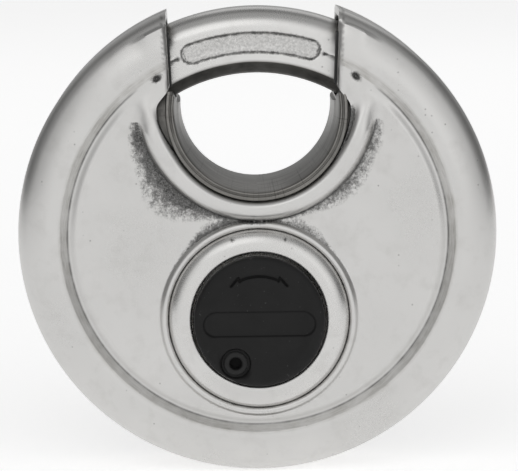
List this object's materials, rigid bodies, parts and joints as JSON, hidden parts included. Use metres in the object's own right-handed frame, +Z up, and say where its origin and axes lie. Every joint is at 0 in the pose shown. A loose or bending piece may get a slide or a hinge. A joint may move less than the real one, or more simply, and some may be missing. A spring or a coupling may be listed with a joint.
{
  "type": "disc padlock",
  "caption": "Round stainless padlock with a recessed shackle that turns inside the disc, a waisted tunnel for the staple and a swinging keyway cover.",
  "frame": {"origin": "point at the middle of the shackle's inner face that bears on the staple, on the disc's mid-plane", "axes": "+X to the padlock's right seen from the keyway side, +Y out of the rear face, +Z up"},
  "size_m": [0.08, 0.0281, 0.0778],
  "materials": {
    "case_steel": "finely polished stainless steel, faint pits",
    "liner_steel": "turned and brushed steel",
    "collar_steel": "polished stainless steel",
    "shackle_steel": "polished hardened steel",
    "core_metal": "plain cast core",
    "seal_rubber": "matt black",
    "cover_plastic": "moulded black plastic, fine grain",
    "rivet_black": "blackened",
    "lock_brass": "turned brass",
    "hard_steel": "hardened, plain"
  },
  "bodies": {
    "case": {"front_shell": "case_steel", "rear_shell": "case_steel", "tunnel_liner": "liner_steel", "core_front": "core_metal", "core_rear": "core_metal", "core_rivet_1": "hard_steel", "core_rivet_2": "hard_steel", "core_rivet_3": "hard_steel", "core_rivet_4": "hard_steel", "front_guide_ring": "liner_steel", "rear_guide_ring": "liner_steel", "cylinder_housing": "lock_brass", "face_plate": "collar_steel", "cover_rivet": "rivet_black", "cover_washer": "hard_steel", "left_shackle_seal": "seal_rubber", "right_shackle_seal": "seal_rubber"},
    "shackle": {"shackle": "shackle_steel", "drive_rack": "hard_steel", "rack_rivet_1": "hard_steel", "rack_rivet_2": "hard_steel"},
    "rotor": {"rotor": "lock_brass", "sidebar": "hard_steel", "drive_pinion": "hard_steel", "pinion_clip": "hard_steel", "anti_drill_disc": "hard_steel", "detainer_disc_1": "lock_brass", "detainer_disc_2": "lock_brass", "detainer_disc_3": "lock_brass", "detainer_disc_4": "lock_brass", "detainer_disc_5": "lock_brass", "detainer_disc_6": "lock_brass", "spacer_1": "hard_steel", "spacer_2": "hard_steel", "spacer_3": "hard_steel", "spacer_4": "hard_steel", "spacer_5": "hard_steel"},
    "cover": {"keyway_cover": "cover_plastic"}
  },
  "joints": [
    {"name": "shackle_turn", "type": "hinge", "parent": "case", "child": "shackle", "pos_m": [0, 0, -0.0268], "axis": [0, 1, 0], "range_deg": [0, 74]},
    {"name": "rotor_turn", "type": "hinge", "parent": "case", "child": "rotor", "pos_m": [0, 0, -0.0403], "axis": [0, 1, 0], "range_deg": [0, 154]},
    {"name": "cover_swing", "type": "hinge", "parent": "case", "child": "cover", "pos_m": [-0.004, 0, -0.04725], "axis": [0, 1, 0], "range_deg": [-150, 150]}
  ],
  "couplings": [
    {"joint": "rotor_turn", "follows": "shackle_turn", "ratio": 2.08}
  ]
}
